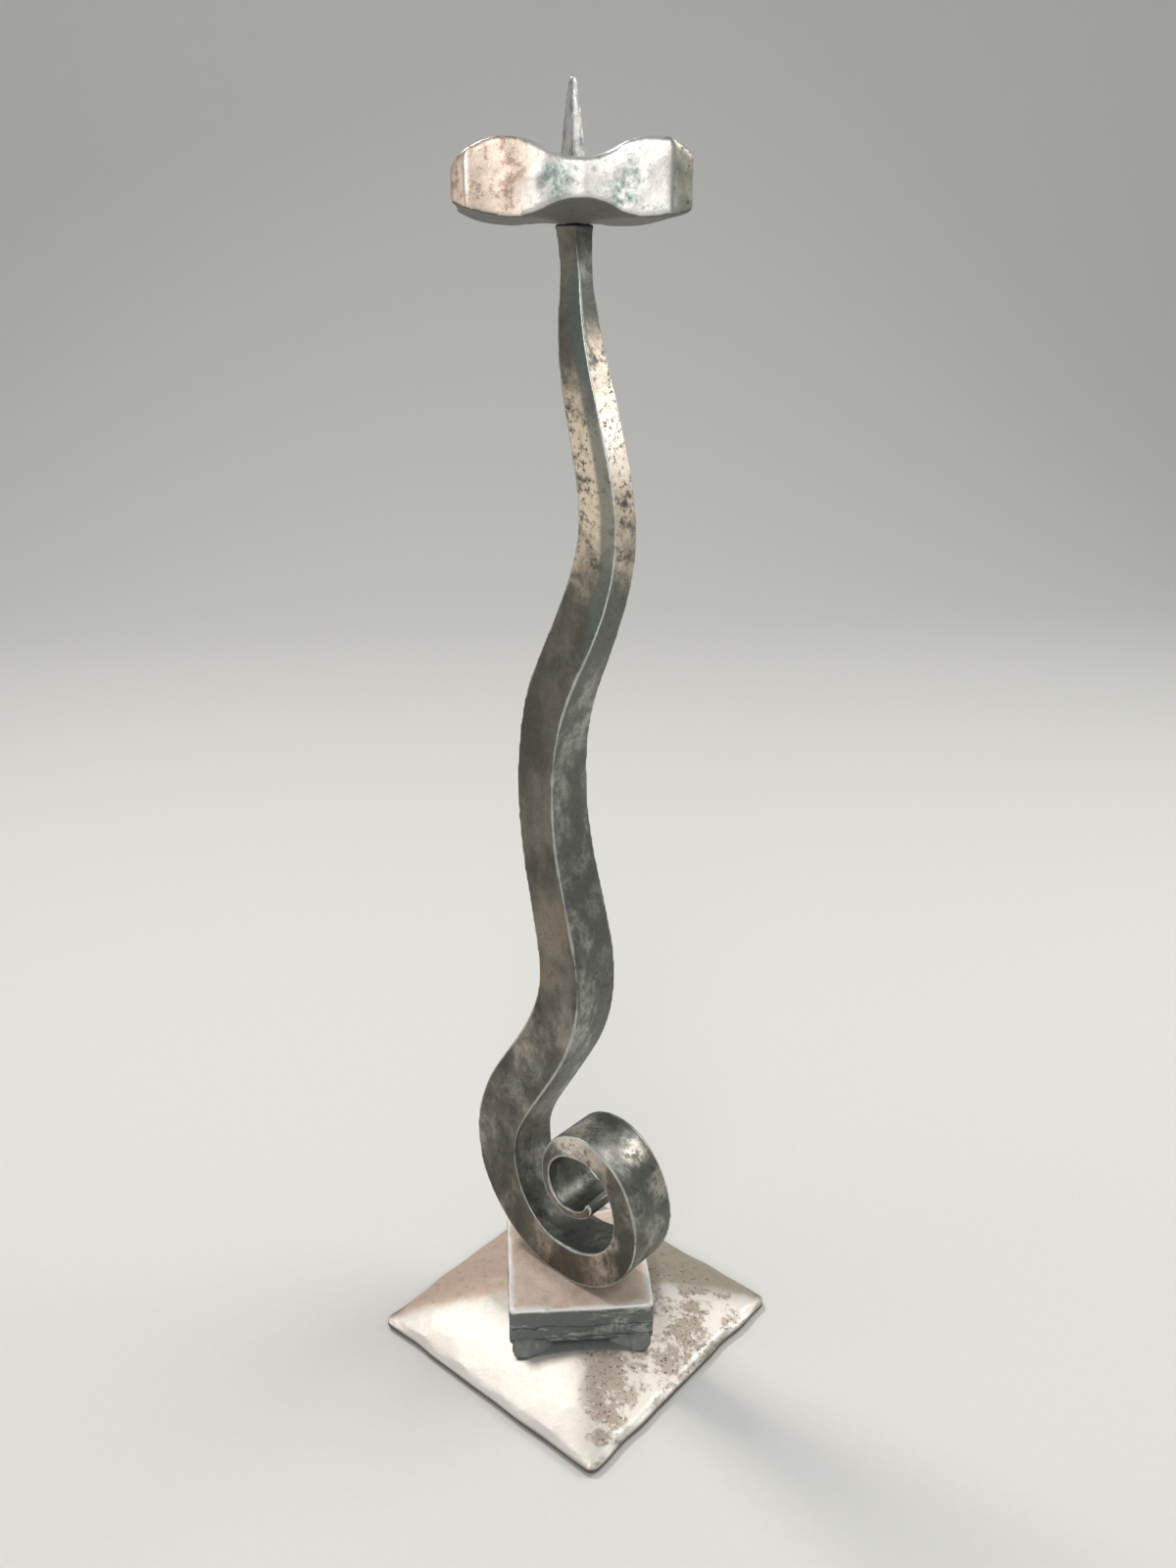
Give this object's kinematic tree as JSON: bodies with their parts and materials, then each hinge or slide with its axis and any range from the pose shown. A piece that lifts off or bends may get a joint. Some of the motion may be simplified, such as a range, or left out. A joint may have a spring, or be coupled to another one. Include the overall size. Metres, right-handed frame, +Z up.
{
  "type": "pricket candle stand",
  "caption": "Hand-forged steel candle stand: bevelled square foot, plinth block, waved bar that ends in a scroll, square drip pan and an upright pricket.",
  "frame": {"origin": "on the floor under the middle of the base plate, on the line through stem neck and pricket", "axes": "+Z up along the pricket, +Y to the back of someone who faces the stand, +X to that person's right; the base plate's corners point along X and Y"},
  "size_m": [0.14, 0.14, 0.4052],
  "materials": {
    "burnished_plate": "hammered, wire-brushed bright and waxed, with brown heat stains",
    "dark_block": "as forged, scale on its sides, top edges burnished",
    "weld_metal": "as welded, brushed",
    "forged_bar": "hammered, brushed over grey scale, arrises burnished, waxed",
    "burnished_pan": "hammered, wire-brushed bright and waxed, with mottled scale",
    "forged_spike": "hammered and brushed",
    "screw_steel": "blackened"
  },
  "bodies": {
    "root": {"base_plate": "burnished_plate", "plinth_block": "dark_block", "corner_welds": "weld_metal", "scroll_stem": "forged_bar", "drip_pan": "burnished_pan", "pricket": "forged_spike", "stem_screw": "screw_steel"}
  },
  "joints": []
}
